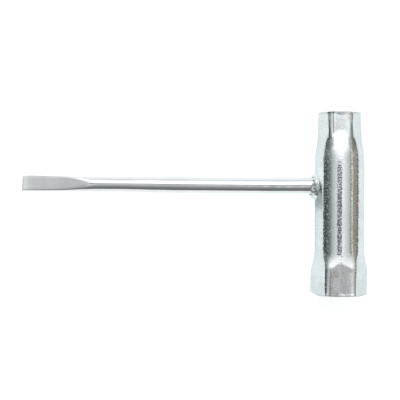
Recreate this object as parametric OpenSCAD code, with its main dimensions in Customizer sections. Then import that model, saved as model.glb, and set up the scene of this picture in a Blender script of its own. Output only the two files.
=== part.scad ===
// Combination spark plug wrench: a steel tube formed into a hexagon socket at each end, with a
// round bar welded square to its side and flattened into a screwdriver blade at its free end.
// The wrench lies flat. The tube runs along Y with its small socket at +Y, the bar points to -X,
// and the origin is where the axis of the bar meets the axis of the tube.

/* [Tube] */
// Outer diameter of the round middle of the tube
tube_od = 22; // [20:0.5:24]
// Wall of the round middle of the tube
tube_wall = 2; // [1.5:0.1:2.5]
// Length of the tube from end to end
tube_len = 82; // [74:1:110]

/* [Large socket] */
// Across flats of the hexagon that the large socket turns
large_nut = 19; // [17:0.5:21]
// Play across the flats of the large socket
large_play = 0.25; // [0.1:0.05:0.5]
// Wall of the tube where it is spread into the large socket
large_wall = 1.85; // [1.4:0.05:2.5]
// Radius inside the corners of the large socket
large_corner = 1; // [0.3:0.1:2]
// Length of the large socket over which its corners are full
large_flats = 12; // [9:0.5:18]
// Length over which the round tube flares out to the full corners
large_flare = 7.5; // [5:0.5:12]

/* [Small socket] */
// Across flats of the hexagon that the small socket turns
small_nut = 13; // [10:0.5:14]
// Play across the flats of the small socket
small_play = 0.2; // [0.1:0.05:0.5]
// Wall of the tube where it is pressed down to the small socket
small_wall = 2.2; // [1.6:0.05:2.8]
// Radius inside the corners of the small socket
small_corner = 0.4; // [0.2:0.1:1.5]
// Length of the small socket over which its flats are full
small_flats = 7.5; // [6:0.5:14]
// Length over which the round tube tapers down to the full flats
small_taper = 12; // [8:0.5:18]

/* [Ends of the tube] */
// How far the outer corners of both hexagons are set back from the end faces
corner_setback = 0.8; // [0.3:0.1:1.5]
// Width of the plain rim outside the middle of each flat, before the set back begins
rim_land = 0.2; // [0.1:0.05:0.4]

/* [Bar] */
// Diameter of the bar
bar_d = 7; // [5:0.25:8]
// Reach of the bar from the axis of the tube to the tip of the blade
bar_reach = 142; // [110:1:180]
// Distance from the large end of the tube to the axis of the bar
bar_height = 49.4; // [40:0.2:52]

/* [Blade] */
// Length over which the bar is flattened
blade_len = 31; // [24:1:45]
// Length of the thin part of the blade
blade_thin_len = 17; // [10:1:20]
// Thickness of the blade where its thin part begins
blade_root = 2.3; // [1.8:0.1:3]
// Thickness of the blade at its tip
blade_tip = 1.2; // [0.8:0.1:1.6]
// Radius of the corners of the tip, seen on its flat
blade_corner = 0.6; // [0.3:0.1:1.2]

/* [Weld] */
// Mean leg of the weld along the bar
weld_bar_leg = 2.3; // [1.5:0.1:3.5]
// Mean leg of the weld on the tube
weld_tube_leg = 2.4; // [1.5:0.1:3.5]
// Share by which the legs grow on the side of the large socket and shrink on the other
weld_bias = 0.28; // [0:0.02:0.4]
// Bulge of the weld above a straight fillet, as a share of its leg
weld_crown = 0.6; // [0.2:0.05:0.9]
// Height of the ripples across the weld
weld_ripple = 0.12; // [0.05:0.01:0.25]
// Number of ripples round the weld
weld_ripples = 13; // [8:1:20]

/* [Hidden] */
$fn = 96;

// Angle from one corner of a hexagon to the next
hexagon_step = 360 / 6;
// Straight pieces of each round corner of a hexagon
corner_steps = 5;
// How far one shape runs into or past another, so that no two faces fall together
overlap = 0.5;
// Steps of the weld along each ripple, and out from the bar along its face and its seat
weld_ripple_steps = 4;
weld_face_steps = 6;
weld_seat_steps = 3;

tube_r = tube_od / 2;
bore_r = tube_r - tube_wall;
large_in = (large_nut + large_play) / 2;
large_out = large_in + large_wall;
large_out_corner = large_corner + large_wall;
small_in = (small_nut + small_play) / 2;
small_out = small_in + small_wall;
small_out_corner = small_corner + small_wall;
flare_end = large_flats + large_flare;
taper_end = tube_len - small_flats;
taper_start = taper_end - small_taper;
bar_r = bar_d / 2;
weld_turn_steps = weld_ripple_steps * weld_ripples;

// Distance from the axis to the outermost point of a hexagon with round corners
function corner_reach(apothem, round_r) =
    (apothem - round_r) / cos(hexagon_step / 2) + round_r;

// Radius of a blank that clears every part of the tube
blank_r = max(tube_r, corner_reach(large_out, large_out_corner)) + overlap;

// Outline of a hexagon with round corners, one of them on the X axis
function hexagon_points(apothem, round_r) =
    let (centre_r = (apothem - round_r) / cos(hexagon_step / 2))
    [
        for (middle = [0:hexagon_step:360 - hexagon_step])
        for (step = [0:corner_steps])
        let (turn = middle + hexagon_step * (step / corner_steps - 0.5))
        [
            centre_r * cos(middle) + round_r * cos(turn),
            centre_r * sin(middle) + round_r * sin(turn)
        ]
    ];

module hexagon_bar(apothem, round_r, from, to) {
    translate([0, 0, from])
        linear_extrude(to - from)
            polygon(hexagon_points(apothem, round_r));
}

// Large socket: a hexagon that narrows along a cone into a round of the given radius
module flared_hexagon(apothem, round_r, round_to) {
    reach = corner_reach(apothem, round_r);
    run_out = overlap * large_flare / (reach - round_to);
    intersection() {
        hexagon_bar(apothem, round_r, -overlap, flare_end + run_out);
        rotate_extrude()
            polygon([
                [0, -overlap],
                [reach + overlap, -overlap],
                [reach + overlap, large_flats - run_out],
                [round_to - overlap, flare_end + run_out],
                [0, flare_end + run_out]
            ]);
    }
}

// Small socket and the round behind it, which narrows along a cone into a hexagon
module tapered_hexagon(apothem, round_r, round_from) {
    run_out = overlap * small_taper / (round_from - apothem);
    hexagon_bar(apothem, round_r, taper_start - overlap, tube_len + overlap);
    rotate_extrude()
        polygon([
            [0, flare_end - overlap],
            [round_from, flare_end - overlap],
            [round_from, taper_start],
            [apothem - overlap, taper_end + run_out],
            [0, taper_end + run_out]
        ]);
}

// Round blank that runs past the far end of the tube and sets back the corners of a hexagon at
// its near end
module end_setback(apothem, round_r) {
    reach = corner_reach(apothem, round_r);
    land_r = apothem + rim_land;
    rise = corner_setback * (blank_r - land_r) / (reach - land_r);
    blank_len = tube_len + overlap;
    rotate_extrude()
        polygon([[0, 0], [land_r, 0], [blank_r, rise], [blank_r, blank_len], [0, blank_len]]);
}

module tube_outside() {
    intersection() {
        union() {
            flared_hexagon(large_out, large_out_corner, tube_r);
            tapered_hexagon(small_out, small_out_corner, tube_r);
        }
        end_setback(large_out, large_out_corner);
        translate([0, 0, tube_len])
            mirror([0, 0, 1])
                end_setback(small_out, small_out_corner);
    }
}

module tube_inside() {
    flared_hexagon(large_in, large_corner, bore_r);
    tapered_hexagon(small_in, small_corner, bore_r);
}

// Lays what stands on its large end along Y, with the axis of the bar at the origin
module lay_tube() {
    translate([0, -bar_height, 0])
        rotate([-90, 0, 0])
            children();
}

// Lays what stands on the axis of the tube along the bar, towards its blade
module lay_bar() {
    rotate([0, -90, 0])
        children();
}

module socket_tube() {
    color("silver")
        lay_tube()
            difference() {
                tube_outside();
                tube_inside();
            }
}

// Closed outline from the half of it that lies above the X axis
function both_sides(half) = [
    for (p = half) p,
    for (i = [len(half) - 1:-1:0]) [half[i][0], -half[i][1]]
];

// Side of the bar: its full thickness, the steep run of the flats and the thin blade
module bar_side() {
    slope = (bar_r - blade_root / 2) / (blade_len - blade_thin_len);
    run_out = overlap / slope;
    half = [
        [0, bar_r + overlap],
        [bar_reach - blade_len - run_out, bar_r + overlap],
        [bar_reach - blade_thin_len, blade_root / 2],
        [bar_reach, blade_tip / 2]
    ];
    polygon(both_sides(half));
}

// Plan of the bar, with the round corners of its tip
module bar_plan() {
    corner = [bar_reach - blade_corner, bar_r - blade_corner];
    half = [
        [0, bar_r + overlap],
        [corner[0], bar_r + overlap],
        for (step = [0:corner_steps])
        let (turn = 90 - 90 * step / corner_steps)
        corner + blade_corner * [cos(turn), sin(turn)]
    ];
    polygon(both_sides(half));
}

module driver_bar() {
    color("gainsboro")
        difference() {
            intersection() {
                lay_bar()
                    cylinder(r = bar_r, h = bar_reach);
                mirror([1, 0, 0])
                    rotate([90, 0, 0])
                        linear_extrude(bar_d + 2 * overlap, center = true)
                            bar_side();
                mirror([1, 0, 0])
                    linear_extrude(bar_d + 2 * overlap, center = true)
                        bar_plan();
            }
            lay_tube()
                cylinder(r = tube_r, h = tube_len);
        }
}

// Share of the mean leg at an angle round the bar, where 180 degrees faces the large socket
function weld_share(turn) = 1 - weld_bias * cos(turn);

// Point under the weld on the surface of the tube, at an angle round the bar and a share of the
// way out from the bar to the toe of the weld
function weld_seat(turn, out) =
    let (r = bar_r + weld_tube_leg * weld_share(turn) * out)
    let (depth = sqrt(tube_r * tube_r - pow(r * sin(turn), 2)))
    [-depth, r * cos(turn), r * sin(turn)];

// Point on the face of the weld above that seat, raised by the fillet, its crown and its ripples
function weld_face(turn, out) =
    let (fillet = weld_bar_leg * weld_share(turn) * (1 - out) * (1 + weld_crown * out))
    let (ripple = weld_ripple * cos(weld_ripples * turn) * sin(180 * out))
    weld_seat(turn, out) - [fillet + ripple, 0, 0];

// Closed section of the weld at one angle: out along its face and back along its seat
function weld_section(turn) = [
    for (step = [0:weld_face_steps]) weld_face(turn, step / weld_face_steps),
    for (step = [weld_seat_steps - 1:-1:0]) weld_seat(turn, step / weld_seat_steps)
];

module weld_bead() {
    sections = [for (i = [0:weld_turn_steps - 1]) weld_section(360 * i / weld_turn_steps)];
    n = len(sections[0]);
    faces = [
        for (i = [0:weld_turn_steps - 1])
        for (j = [0:n - 1])
        let (here = i * n)
        let (next = (i + 1) % weld_turn_steps * n)
        let (k = (j + 1) % n)
        for (f = [[here + j, here + k, next + k], [here + j, next + k, next + j]]) f
    ];
    color("darkgray")
        polyhedron([for (s = sections) for (p = s) p], faces);
}

socket_tube();
driver_bar();
weld_bead();
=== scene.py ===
"""Looks of a combination spark plug wrench.

A plated steel tube is formed into a hexagon socket at each end. A round bar with a screwdriver
blade is welded square to its side. Sizes are in millimetres, and the last step of each mesh scales
it to metres. The tube runs along Y with its small socket at +Y, and the bar points to -X.
"""

import logging
import math
from dataclasses import dataclass
from enum import Enum
from typing import Any, Optional, Sequence, Union

import bpy
from mathutils import Euler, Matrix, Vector


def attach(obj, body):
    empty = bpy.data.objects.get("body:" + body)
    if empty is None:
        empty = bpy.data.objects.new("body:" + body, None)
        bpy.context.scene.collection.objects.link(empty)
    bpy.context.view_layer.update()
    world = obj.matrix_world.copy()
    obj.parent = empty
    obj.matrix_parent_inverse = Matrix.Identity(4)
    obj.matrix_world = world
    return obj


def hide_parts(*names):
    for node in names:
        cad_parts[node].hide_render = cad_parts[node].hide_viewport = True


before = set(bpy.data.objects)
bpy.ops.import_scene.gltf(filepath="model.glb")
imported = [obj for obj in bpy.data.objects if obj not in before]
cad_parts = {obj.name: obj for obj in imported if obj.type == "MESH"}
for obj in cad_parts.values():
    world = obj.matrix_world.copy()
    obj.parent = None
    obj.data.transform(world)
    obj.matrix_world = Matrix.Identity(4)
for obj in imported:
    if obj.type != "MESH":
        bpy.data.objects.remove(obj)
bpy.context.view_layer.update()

log = logging.getLogger("wrench")

MM = 0.001
HEXAGON_STEP = math.radians(60)

Point = tuple[float, float, float]
Colour = tuple[float, float, float]


class Slot(Enum):
    """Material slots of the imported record."""

    TUBE = "tube_plating"
    BAR = "bar_plating"
    WELD = "weld_plating"


class Grain(Enum):
    """Direction in which a piece was drawn through its die, as a stretch of the pattern."""

    ALONG_X = (0.04, 1.0, 1.0)
    ALONG_Y = (1.0, 0.04, 1.0)
    NONE = (1.0, 1.0, 1.0)


class Mark(Enum):
    """Attributes on the points of a piece that its finish reads."""

    WORN = "worn"
    # Stains, and on the tube the painted shade below the weld
    STAIN_AND_PAINTED_SHADE = "stain"
    IRONED = "ironed"
    INSIDE = "inside"


class Term:
    """One output socket of a node, so that arithmetic on it adds Math nodes to its tree."""

    def __init__(self, graph: "Graph", socket: bpy.types.NodeSocket) -> None:
        """Keep the tree that the socket belongs to."""
        self.graph = graph
        self.socket = socket

    def __add__(self, other: "Operand") -> "Term":
        """Sum with another value."""
        return self.graph.math("ADD", self, other)

    def __radd__(self, other: "Operand") -> "Term":
        """Sum with a number on the left."""
        return self.graph.math("ADD", other, self)

    def __sub__(self, other: "Operand") -> "Term":
        """Difference to another value."""
        return self.graph.math("SUBTRACT", self, other)

    def __rsub__(self, other: "Operand") -> "Term":
        """Difference from a number on the left."""
        return self.graph.math("SUBTRACT", other, self)

    def __mul__(self, other: "Operand") -> "Term":
        """Product with another value."""
        return self.graph.math("MULTIPLY", self, other)

    def __rmul__(self, other: "Operand") -> "Term":
        """Product with a number on the left."""
        return self.graph.math("MULTIPLY", other, self)

    def __truediv__(self, other: "Operand") -> "Term":
        """Quotient by another value."""
        return self.graph.math("DIVIDE", self, other)

    def __rtruediv__(self, other: "Operand") -> "Term":
        """Quotient of a number on the left."""
        return self.graph.math("DIVIDE", other, self)

    def __pow__(self, other: "Operand") -> "Term":
        """Power with another value."""
        return self.graph.math("POWER", self, other)

    def __neg__(self) -> "Term":
        """Negative of the value."""
        return self.graph.math("MULTIPLY", self, -1.0)

    def __abs__(self) -> "Term":
        """Size of the value without its sign."""
        return self.graph.math("ABSOLUTE", self)


Operand = Union[Term, float]


class Graph:
    """A node tree that is written as expressions."""

    def __init__(self, tree: bpy.types.NodeTree) -> None:
        """Keep the tree that the nodes go into."""
        self.tree = tree

    def node(
        self,
        kind: str,
        settings: Optional[dict[str, Any]] = None,
        sockets: Optional[dict[Union[str, int], Any]] = None,
    ) -> bpy.types.Node:
        """Add a node of any kind.

        Args:
            kind: Blender's type of the node.
            settings: Values of the node itself, set first; "stops" are those of a colour ramp.
            sockets: Values or links of its inputs, by name or index.

        Returns:
            The new node.
        """
        node = self.tree.nodes.new(kind)
        for name, value in (settings or {}).items():
            if name == "stops":
                self._set_stops(node.color_ramp, value)
            else:
                setattr(node, name, value)
        for name, value in (sockets or {}).items():
            socket = node.inputs[name] if isinstance(name, int) else self._input(node, name)
            if isinstance(value, Term):
                self.tree.links.new(value.socket, socket)
            else:
                socket.default_value = value
        return node

    def term(
        self,
        kind: str,
        settings: Optional[dict[str, Any]] = None,
        sockets: Optional[dict[Union[str, int], Any]] = None,
        output: Optional[str] = None,
    ) -> Term:
        """Add a node and take one of its outputs.

        Args:
            kind: Blender's type of the node.
            settings: Values of the node itself.
            sockets: Values or links of its inputs.
            output: Name of the output, or None for the first one in use.

        Returns:
            The output as a term.
        """
        node = self.node(kind, settings, sockets)
        found = [s for s in node.outputs if s.enabled and output in (None, s.name)]
        return Term(self, found[0])

    def math(self, operation: str, *operands: Operand, clamp: bool = False) -> Term:
        """Add a Math node and take its result, held between 0 and 1 if it is clamped."""
        settings = {"operation": operation, "use_clamp": clamp}
        return self.term("ShaderNodeMath", settings, dict(enumerate(operands)))

    def unit(self, value: Term) -> Term:
        """Hold a value between 0 and 1."""
        return self.math("ADD", value, 0.0, clamp=True)

    def ease(self, value: Term, none: float, full: float) -> Term:
        """Ease from 0 at one value to 1 at another, which may be the lower of the two."""
        settings = {"interpolation_type": "SMOOTHSTEP"}
        return self.term("ShaderNodeMapRange", settings, {0: value, 1: none, 2: full})

    def lower(self, first: Operand, second: Operand, blend: Operand) -> Term:
        """Smaller of two values, rounded off over a blend."""
        return self.math("SMOOTH_MIN", first, second, blend)

    def higher(self, first: Operand, second: Operand, blend: Operand) -> Term:
        """Larger of two values, rounded off over a blend."""
        return self.math("SMOOTH_MAX", first, second, blend)

    def split(self, vector: Term) -> tuple[Term, Term, Term]:
        """Take a vector apart into its X, Y and Z."""
        node = self.node("ShaderNodeSeparateXYZ", sockets={"Vector": vector})
        return tuple(Term(self, socket) for socket in node.outputs)

    def join(self, x: Operand, y: Operand, z: Operand) -> Term:
        """Put a vector together from its X, Y and Z."""
        return self.term("ShaderNodeCombineXYZ", sockets={"X": x, "Y": y, "Z": z})

    def mix(self, share: Operand, first: Any, second: Any) -> Term:
        """Mix two colours by the share of the second."""
        sockets = {"Factor": share, "A": self._opaque(first), "B": self._opaque(second)}
        return self.term("ShaderNodeMix", {"data_type": "RGBA"}, sockets)

    @staticmethod
    def _opaque(colour: Any) -> Any:
        """Give a plain colour its alpha and leave a term as it is."""
        return colour if isinstance(colour, Term) else (*colour, 1.0)

    @staticmethod
    def _input(node: bpy.types.Node, name: str) -> bpy.types.NodeSocket:
        """Find an input that is in use by its name."""
        return next(s for s in node.inputs if s.name == name and s.enabled)

    @staticmethod
    def _set_stops(ramp: bpy.types.ColorRamp, stops: Sequence[tuple[float, Colour]]) -> None:
        """Give a colour ramp its stops.

        Args:
            ramp: Ramp of a new node, which has two stops.
            stops: Place from 0 to 1 and colour of each stop, in order.
        """
        while len(ramp.elements) < len(stops):
            ramp.elements.new(1.0)
        for element, (place, colour) in zip(ramp.elements, stops):
            element.position = place
            element.color = (*colour, 1.0)


class Press(Graph):
    """A Geometry Nodes tree with named sizes that forms one piece from its blank."""

    def __init__(self, name: str, sizes: dict[str, float]) -> None:
        """Start the tree.

        Args:
            name: Name of the tree.
            sizes: Named sizes, which become the tree's inputs.
        """
        super().__init__(bpy.data.node_groups.new(name, "GeometryNodeTree"))
        self.sizes = sizes
        self.sockets: dict[str, str] = {}
        interface = self.tree.interface
        interface.new_socket(name="Blank", in_out="INPUT", socket_type="NodeSocketGeometry")
        interface.new_socket(name="Piece", in_out="OUTPUT", socket_type="NodeSocketGeometry")
        for size in sizes:
            socket = interface.new_socket(name=size, in_out="INPUT", socket_type="NodeSocketFloat")
            self.sockets[size] = socket.identifier
        self.entry = self.node("NodeGroupInput")

    def size(self, name: str) -> Term:
        """Take one of the tree's inputs."""
        return Term(self, self.entry.outputs[name])

    def noise(self, place: Term, scale: float, detail: float = 2.0) -> Term:
        """Noise round 0, with its cells per millimetre and its finer layers."""
        sockets = {"Vector": place, "Scale": scale, "Detail": detail}
        return self.term("ShaderNodeTexNoise", None, sockets) - 0.5

    def store(self, shape: Term, mark: Mark, value: Term) -> Term:
        """Keep a value on the points of the piece for its finish.

        Args:
            shape: Geometry of the piece.
            mark: Attribute that gets the value.
            value: The value at each point.

        Returns:
            The geometry with the attribute.
        """
        settings = {"data_type": "FLOAT", "domain": "POINT"}
        sockets = {"Geometry": shape, "Name": mark.value, "Value": value}
        return self.term("GeometryNodeStoreNamedAttribute", settings, sockets)

    def move(self, shape: Term, place: Term) -> Term:
        """Move the points of the piece to new places."""
        return self.term("GeometryNodeSetPosition", None, {"Geometry": shape, "Position": place})

    def close(self, shape: Term, material: bpy.types.Material) -> None:
        """End the tree: scale to metres, smooth, realize and dress.

        Args:
            shape: The formed geometry in millimetres.
            material: Finish of the piece.
        """
        scaled = self.term(
            "GeometryNodeTransform", None, {"Geometry": shape, "Scale": (MM, MM, MM)}
        )
        smooth = self.term("GeometryNodeSetShadeSmooth", None, {"Geometry": scaled})
        real = self.term("GeometryNodeRealizeInstances", None, {"Geometry": smooth})
        dressed = self.term(
            "GeometryNodeSetMaterial", None, {"Geometry": real, "Material": material}
        )
        self.node("NodeGroupOutput", None, {"Piece": dressed})

    def form(self, piece: bpy.types.Object) -> None:
        """Run the tree on a blank and keep the result as a plain mesh.

        Args:
            piece: Object with the blank, which gets the formed mesh.
        """
        modifier = piece.modifiers.new(self.tree.name, "NODES")
        modifier.node_group = self.tree
        for size, value in self.sizes.items():
            modifier[self.sockets[size]] = float(value)
        graph = bpy.context.evaluated_depsgraph_get()
        formed = bpy.data.meshes.new_from_object(
            piece.evaluated_get(graph), preserve_all_data_layers=True, depsgraph=graph
        )
        piece.modifiers.remove(modifier)
        blank = piece.data
        piece.data = formed
        formed.name = piece.name
        bpy.data.meshes.remove(blank)


def start_graph(owner: Union[bpy.types.Material, bpy.types.World]) -> Graph:
    """Give a new material or world an empty node tree.

    Args:
        owner: The material or world.

    Returns:
        Its tree.
    """
    owner.use_nodes = True
    owner.node_tree.nodes.clear()
    return Graph(owner.node_tree)


def named_sizes(piece: Any, fields: Sequence[str]) -> dict[str, float]:
    """Sizes of a piece under the names that they have as inputs of its tree."""
    return {field.replace("_", " ").title(): getattr(piece, field) for field in fields}


def spaced(start: float, end: float, gap: float) -> list[float]:
    """Places from a start up to an end, without it, in equal steps of at most a gap."""
    count = math.ceil((end - start) / gap)
    return [start + (end - start) * i / count for i in range(count)]


def circle(count: int) -> list[tuple[float, float]]:
    """Cosine and sine of equal steps round a circle."""
    turns = [2 * math.pi * i / count for i in range(count)]
    return [(math.cos(turn), math.sin(turn)) for turn in turns]


def ring_faces(rings: int, count: int, closed: bool) -> list[tuple[int, ...]]:
    """Faces between rings of points that follow each other.

    Args:
        rings: Number of rings.
        count: Points in each ring.
        closed: Whether the last ring joins the first.

    Returns:
        Indices of each face's points.
    """
    faces = []
    for ring in range(rings if closed else rings - 1):
        here, after = ring * count, (ring + 1) % rings * count
        for i in range(count):
            j = (i + 1) % count
            faces.append((here + i, after + i, after + j, here + j))
    return faces


def add_object(
    name: str, points: Sequence[Point], faces: Sequence[Sequence[int]]
) -> bpy.types.Object:
    """Make a mesh object and link it to the scene.

    Args:
        name: Name of the object and its mesh.
        points: Places of its points.
        faces: Indices of each face's points.

    Returns:
        The new object at the origin.
    """
    mesh = bpy.data.meshes.new(name)
    mesh.from_pydata(points, [], faces)
    piece = bpy.data.objects.new(name, mesh)
    bpy.context.scene.collection.objects.link(piece)
    return piece


def fit_piece(piece: bpy.types.Object, node: str) -> None:
    """Let a finished piece stand for its solid.

    Args:
        piece: The finished object.
        node: Name of the solid that it replaces.
    """
    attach(piece, "root")
    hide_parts(node)


@dataclass(frozen=True)
class ZincPlate:
    """Bright zinc plate on steel, with the grain of the steel under it.

    Attributes:
        name: Name of the material.
        bright: Colour of clean plate.
        dull: Colour of rubbed and pressed plate.
        stained: Colour of plate that the die or use has marked, and on the tube the colour of the
            painted shade below the weld.
        grain: Direction in which the steel was drawn.
        edge: Tint of the plate seen at a low angle.
        gloss: Roughness of clean plate.
        haze: Roughness that rubbed and pressed places add.
        pit: Depth of the fine pits in millimetres.
        pit_scale: Pits per millimetre.
        patchy: Share of the rubbed and pressed look that comes in patches.
        speck: Roughness that fine specks of matt plate add.
        speck_scale: Specks per millimetre.
        speck_tone: How much the specks darken rubbed and pressed plate.
        line: Depth of the drawing lines in millimetres.
        line_scale: Drawing lines per millimetre.
    """

    name: str
    bright: Colour
    dull: Colour
    stained: Colour
    grain: Grain
    edge: Colour
    gloss: float
    haze: float
    pit: float
    pit_scale: float
    patchy: float
    speck: float
    speck_scale: float
    speck_tone: float
    line: float
    line_scale: float

    # Larger patches: mirror image of their pattern, its cells per millimetre and its soft edge
    MIRROR = (-1.0, 1.0, 1.0)
    PATCH_SCALE = 0.12
    PATCH_EDGE = (0.42, 0.56)
    # Soft edges of the specks and of the drawing lines
    SPECK_EDGE = (0.55, 0.66)
    LINE_EDGE = (0.5, 0.75)
    # How much patches, pressing and the inside dull the colour
    PATCH_DULL = 0.1
    PRESSED_DULL = 0.7
    INSIDE_DULL = 0.5
    # How much of a stain is even, and how much lies on the specks
    EVEN_STAIN = 0.85
    SPECK_STAIN = 0.4
    # Roughness of the inside and of the drawing lines
    INSIDE_HAZE = 0.22
    LINE_HAZE = 0.05
    # Share of the specks that wear takes off, and of the pits that the die irons out
    SPECK_LOSS = 0.5
    PIT_LOSS = 0.75

    def material(self) -> bpy.types.Material:
        """Build the material.

        Returns:
            The material, which reads the marks of its piece.
        """
        material = bpy.data.materials.new(self.name)
        g = start_graph(material)
        place = g.term("ShaderNodeTexCoord", output="Object")
        worn, stain, ironed, inside = (
            g.term("ShaderNodeAttribute", {"attribute_name": mark.value}, output="Fac")
            for mark in (Mark.WORN, Mark.STAIN_AND_PAINTED_SHADE, Mark.IRONED, Mark.INSIDE)
        )
        drawn = g.term("ShaderNodeMapping", None, {"Vector": place, "Scale": self.grain.value})
        mirrored = g.term("ShaderNodeMapping", None, {"Vector": place, "Scale": self.MIRROR})

        cloud = self._noise(g, mirrored, self.PATCH_SCALE, detail=3.0)
        pits = self._noise(g, place, self.pit_scale, detail=1.0)
        lines = self._noise(g, drawn, self.line_scale, detail=2.0)
        specks = g.ease(self._noise(g, place, self.speck_scale, detail=1.0), *self.SPECK_EDGE)

        patches = g.ease(cloud, *self.PATCH_EDGE)
        pressed = worn * (1.0 - self.patchy + self.patchy * patches)
        dullness = g.unit(
            self.PATCH_DULL * patches
            + self.PRESSED_DULL * pressed
            + self.speck_tone * pressed * specks
            + self.INSIDE_DULL * inside
        )
        plate = g.mix(dullness, self.bright, self.dull)
        # The stain attribute holds stains, and on the tube the painted shade below the weld
        marked = g.unit(stain * (self.EVEN_STAIN + self.SPECK_STAIN * specks))
        colour = g.mix(marked, plate, self.stained)
        rough = g.unit(
            self.gloss
            + self.haze * pressed
            + self.speck * specks * (1.0 - self.SPECK_LOSS * worn)
            + self.INSIDE_HAZE * inside
            + self.LINE_HAZE * g.ease(lines, *self.LINE_EDGE)
        )
        pitted = self.pit * pits * (1.0 - self.PIT_LOSS * ironed)
        height = pitted + self.line * (1.0 + worn) * lines
        bump = g.term(
            "ShaderNodeBump", None, {"Strength": 1.0, "Distance": MM, "Height": height}
        )
        shader = g.term(
            "ShaderNodeBsdfPrincipled",
            None,
            {
                "Base Color": colour,
                "Roughness": rough,
                "Metallic": 1.0,
                "Specular Tint": (*self.edge, 1.0),
                "Normal": bump,
            },
        )
        g.node("ShaderNodeOutputMaterial", None, {"Surface": shader})
        return material

    @staticmethod
    def _noise(g: Graph, place: Term, per_mm: float, detail: float) -> Term:
        """Noise from 0 to 1 at a place in metres, with its cells per millimetre."""
        sockets = {"Vector": place, "Scale": per_mm / MM, "Detail": detail}
        return g.term("ShaderNodeTexNoise", None, sockets)


class FormedPiece:
    """A piece that a tree with named sizes forms from a blank."""

    NODE: str
    SLOT: Slot
    finish: ZincPlate

    def build(self) -> bpy.types.Object:
        """Form the piece, dress it and let it stand for its solid.

        Returns:
            The finished piece.
        """
        piece = self._blank()
        press = self._press(self.finish.material())
        press.form(piece)
        fit_piece(piece, self.NODE)
        return piece

    def _blank(self) -> bpy.types.Object:
        """Make the piece as it is before it is formed."""
        raise NotImplementedError

    def _press(self, material: bpy.types.Material) -> Press:
        """Build the tree that forms the piece."""
        raise NotImplementedError


@dataclass
class Socket:
    """One hexagon socket of the tube.

    Attributes:
        inside: Apothem of the inside.
        wall: Wall between the flats of the inside and the outside.
        inside_corner: Radius in the corners of the inside.
        flats: Length from the end over which the hexagon is full.
        run_out: Length over which the hexagon runs out into the round tube.
        clock: Turn of the hexagon against the bar, in degrees.
        cone: How much the outside grows for each millimetre from the end.
        soft: What is taken off the sharpness of the outer corners.
        blunt: What more is taken off the corner at +Z and -X, which the press filled least.
        fill: How much sharper the outer corners get for each millimetre from the end.
        setback: How far the outer corners stand back from the end face.
        setback_bias: Share by which the set back grows towards +X.
        side_setback: How much further the end stands back at its -X and +X sides.
        shift: How far the press set the socket off the axis towards +X.
        rubbed: Share of wear on its flats.
        scores: Place across the upper flat, half width and strength of each stain of the die.
    """

    inside: float
    wall: float
    inside_corner: float
    flats: float
    run_out: float
    clock: float
    cone: float
    soft: float
    blunt: float
    fill: float
    setback: float
    setback_bias: float
    side_setback: float
    shift: float
    rubbed: float
    scores: tuple[tuple[float, float, float], ...]

    INPUTS = ("inside", "flats", "run_out", "cone", "blunt", "fill")
    INPUTS += ("setback", "setback_bias", "side_setback", "shift", "rubbed")

    def outside(self) -> float:
        """Apothem of the outside."""
        return self.inside + self.wall

    def reach(self, apothem: float) -> float:
        """Distance from the axis to a round corner of the inside or the outside."""
        corner = self.inside_corner + apothem - self.inside
        return (apothem - corner) / math.cos(HEXAGON_STEP / 2) + corner

    def sharpness(self, apothem: float) -> float:
        """Power of the rule that gives a hexagon the same corners."""
        return math.log(2) / -math.log(self.reach(apothem) * math.cos(HEXAGON_STEP / 2) / apothem)

    def sizes(self, name: str) -> dict[str, float]:
        """Named sizes for the tree that forms the tube.

        Args:
            name: Name of the socket, put before each size.

        Returns:
            The sizes by name.
        """
        outside = self.outside()
        sizes = named_sizes(self, self.INPUTS)
        sizes["Inside Reach"] = self.reach(self.inside)
        sizes["Inside Sharpness"] = self.sharpness(self.inside)
        sizes["Outside"] = outside
        sizes["Outside Reach"] = self.reach(outside)
        sizes["Outside Sharpness"] = self.sharpness(outside) - self.soft
        sizes["Clock"] = math.radians(self.clock)
        return {f"{name} {key}": value for key, value in sizes.items()}


class SkinSide(Enum):
    """Side of the tube's wall."""

    INSIDE = "Inside"
    OUTSIDE = "Outside"


@dataclass
class Skin:
    """One side of the tube's wall at each point.

    Attributes:
        radius: Its radius.
        rubbed: How much it is rubbed.
        stain: How much the die has stained it.
        ironed: How much the die has smoothed its pits.
    """

    radius: Term
    rubbed: Term
    stain: Term
    ironed: Term


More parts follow.
